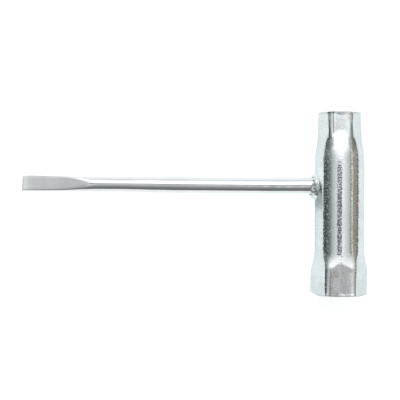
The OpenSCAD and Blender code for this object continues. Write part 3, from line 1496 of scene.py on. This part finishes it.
@dataclass
class Stage:
    """Floor and camera.

    Attributes:
        contacts: Three lowest points of the wrench as it lies, which the floor passes under.
        gap: Distance of the floor below them.
        floor_size: Side of the floor.
        aim: Point that the camera looks at.
        distance: Distance of the camera from that point.
        lean: Angle from straight up towards -Y at which the camera stands, in degrees.
        roll: Turn of the camera about its line of sight, in degrees.
        lens: Focal length.
        paper: Finish of the floor.
    """

    contacts: tuple[Point, Point, Point]
    gap: float
    floor_size: float
    aim: Point
    distance: float
    lean: float
    roll: float
    lens: float
    paper: Paper

    # Width of the camera's sensor
    SENSOR = 36.0

    def build(self) -> None:
        """Make the floor and the camera."""
        self._floor()
        self._camera()

    def _floor(self) -> None:
        """Make the pale floor that the wrench lies on."""
        first, second, third = (Vector(point) for point in self.contacts)
        up = (second - first).cross(third - first).normalized()
        up *= math.copysign(1.0, up.z)
        side = Vector((1.0, 0.0, -up.x / up.z)).normalized()
        ahead = up.cross(side)
        half = self.floor_size / 2
        centre = first - self.gap * up
        corners = [(-half, -half), (half, -half), (half, half), (-half, half)]
        points = [tuple((centre + a * side + b * ahead) * MM) for a, b in corners]
        floor = add_object("floor", points, [(0, 1, 2, 3)])
        floor.data.materials.append(self.paper.material())

    def _camera(self) -> None:
        """Make the camera that looks down on the wrench."""
        data = bpy.data.cameras.new("camera")
        data.lens = self.lens
        data.sensor_width = self.SENSOR
        camera = bpy.data.objects.new("camera", data)
        turn = Euler((math.radians(self.lean), 0.0, math.radians(self.roll)))
        back = turn.to_matrix() @ Vector((0.0, 0.0, self.distance))
        camera.location = (Vector(self.aim) + back) * MM
        camera.rotation_euler = turn
        bpy.context.scene.collection.objects.link(camera)
        bpy.context.scene.camera = camera


TUBE_PLATE = ZincPlate(
    name="zinc_on_tube",
    bright=(0.745, 0.795, 0.80),
    dull=(0.295, 0.272, 0.252),
    # Colour of the die's stains, and of the painted shade below the weld
    stained=(0.22, 0.26, 0.255),
    grain=Grain.ALONG_Y,
    edge=(0.80, 0.84, 0.84),
    gloss=0.08,
    haze=0.34,
    pit=0.04,
    pit_scale=1.2,
    patchy=0.45,
    speck=0.42,
    speck_scale=1.8,
    speck_tone=0.5,
    line=0.0015,
    line_scale=5.0,
)
BAR_PLATE = ZincPlate(
    name="zinc_on_bar",
    bright=(0.81, 0.83, 0.84),
    dull=(0.43, 0.455, 0.44),
    stained=(0.90, 0.91, 0.875),
    grain=Grain.ALONG_X,
    edge=(1.0, 1.0, 1.0),
    gloss=0.08,
    haze=0.45,
    pit=0.0015,
    pit_scale=1.6,
    patchy=0.0,
    speck=0.04,
    speck_scale=2.4,
    speck_tone=0.0,
    line=0.002,
    line_scale=5.0,
)
WELD_PLATE = ZincPlate(
    name="zinc_on_weld",
    bright=(0.87, 0.93, 0.92),
    dull=(0.68, 0.72, 0.71),
    stained=(0.68, 0.72, 0.71),
    grain=Grain.NONE,
    edge=(0.9, 0.93, 0.93),
    gloss=0.14,
    haze=0.12,
    pit=0.02,
    pit_scale=2.2,
    patchy=0.2,
    speck=0.2,
    speck_scale=2.6,
    speck_tone=0.3,
    line=0.0,
    line_scale=3.0,
)
LARGE_SOCKET = Socket(
    inside=9.625,
    wall=1.68,
    inside_corner=1.0,
    flats=12.2,
    run_out=6.8,
    clock=0.2,
    cone=0.0,
    soft=0.0,
    blunt=8.0,
    fill=-0.5,
    setback=0.2,
    setback_bias=-0.45,
    side_setback=1.2,
    shift=-0.34,
    rubbed=0.73,
    scores=((-4.6, 0.22, 1.1), (2.2, 2.4, 0.2)),
)
SMALL_SOCKET = Socket(
    inside=6.6,
    wall=2.1,
    inside_corner=0.4,
    flats=7.6,
    run_out=9.9,
    clock=1.0,
    cone=0.015,
    soft=2.0,
    blunt=7.0,
    fill=1.2,
    setback=0.25,
    setback_bias=0.9,
    side_setback=-0.2,
    shift=-0.15,
    rubbed=0.09,
    scores=((-3.4, 0.28, 1.1), (-1.5, 0.95, 0.16)),
)
LIGHT = StudioLight(
    across=(
        (-88.0, (0.06, 0.08, 0.08)),
        (-66.0, (0.075, 0.098, 0.098)),
        (-50.0, (0.19, 0.22, 0.225)),
        (-35.0, (0.58, 0.60, 0.62)),
        (-20.0, (0.86, 0.87, 0.89)),
        (-6.0, (1.04, 1.04, 1.06)),
        (12.0, (1.08, 1.08, 1.06)),
        (26.0, (0.84, 0.85, 0.82)),
        (41.0, (0.58, 0.59, 0.57)),
        (47.0, (0.43, 0.44, 0.43)),
        (51.5, (0.16, 0.17, 0.17)),
        (54.5, (0.90, 0.90, 0.87)),
        (58.0, (0.90, 0.90, 0.87)),
        (61.0, (0.35, 0.30, 0.245)),
        (80.0, (0.36, 0.31, 0.255)),
        (87.0, (0.17, 0.16, 0.16)),
    ),
    lengthways=(
        (-88.0, (0.16, 0.17, 0.17)),
        (-58.0, (0.18, 0.19, 0.19)),
        (-40.0, (0.28, 0.30, 0.30)),
        (-30.0, (0.41, 0.43, 0.44)),
        (-11.0, (0.47, 0.49, 0.50)),
        (-6.0, (0.86, 0.87, 0.88)),
        (0.0, (0.96, 0.97, 0.98)),
        (8.0, (1.32, 1.33, 1.34)),
        (16.0, (1.60, 1.60, 1.60)),
        (24.0, (2.40, 2.40, 2.40)),
        (38.0, (2.40, 2.40, 2.40)),
        (46.0, (1.12, 1.12, 1.13)),
        (67.0, (1.12, 1.12, 1.13)),
        (69.0, (0.58, 0.59, 0.60)),
        (75.0, (0.58, 0.59, 0.60)),
        (77.0, (1.04, 1.04, 1.06)),
        (90.0, (1.12, 1.12, 1.14)),
    ),
    opening=Opening(
        across=(-14.9, 6.4),
        lengthways=(-3.0, 5.5),
        edge=0.6,
        tone=(0.16, 0.165, 0.20),
    ),
    gain=2.4,
    backdrop=(1.0, 1.0, 1.0),
)
FLOOR_PAPER = Paper(
    name="white_paper",
    fibres=((0.30, 0.31, 0.31), (0.33, 0.33, 0.33)),
    fibre_scale=9.0,
    reflected=(0.76, 0.785, 0.785),
    glow=(0.97, 1.0, 0.995),
    reflected_glow=(0.55, 0.575, 0.575),
    strength=0.88,
    rough=0.8,
)


def main() -> None:
    """Build the wrench, its light and its stage."""
    logging.basicConfig(level=logging.INFO, format="%(name)s: %(message)s")
    bpy.context.scene.view_settings.view_transform = "Standard"
    tube = SocketTube(
        radius=11.0,
        bore=9.0,
        length=82.0,
        bar_height=49.4,
        rim=0.32,
        rim_land=0.2,
        large=LARGE_SOCKET,
        small=SMALL_SOCKET,
        finish=TUBE_PLATE,
    )
    bar = DriverBar(
        radius=3.5,
        reach=142.0,
        tube_radius=tube.radius,
        blade=31.0,
        thin=17.0,
        root=2.3,
        tip=1.2,
        corner=0.6,
        slant=0.5,
        spread=0.03,
        uneven=0.95,
        neck=0.075,
        bow=0.17,
        finish=BAR_PLATE,
    )
    weld = WeldBead(
        bar_radius=bar.radius,
        tube_radius=tube.radius,
        bar_leg=2.3,
        tube_leg=2.4,
        bias=0.28,
        crown=0.6,
        ripple=0.3,
        ripples=13,
        lump=0.9,
        finish=WELD_PLATE,
    )
    stage = Stage(
        contacts=((-5.39, -48.87, -11.47), (-0.72, 9.51, -10.96), (-110.58, 0.13, -3.13)),
        gap=0.03,
        floor_size=6000.0,
        aim=(-62.35, -6.9, 0.0),
        distance=720.0,
        lean=2.2,
        roll=0.42,
        lens=145.0,
        paper=FLOOR_PAPER,
    )
    for part in (tube, bar, weld):
        piece = part.build()
        log.info("%s: %d faces, for %s", piece.name, len(piece.data.polygons), part.NODE)
    LIGHT.build()
    stage.build()


if __name__ == "__main__":
    main()
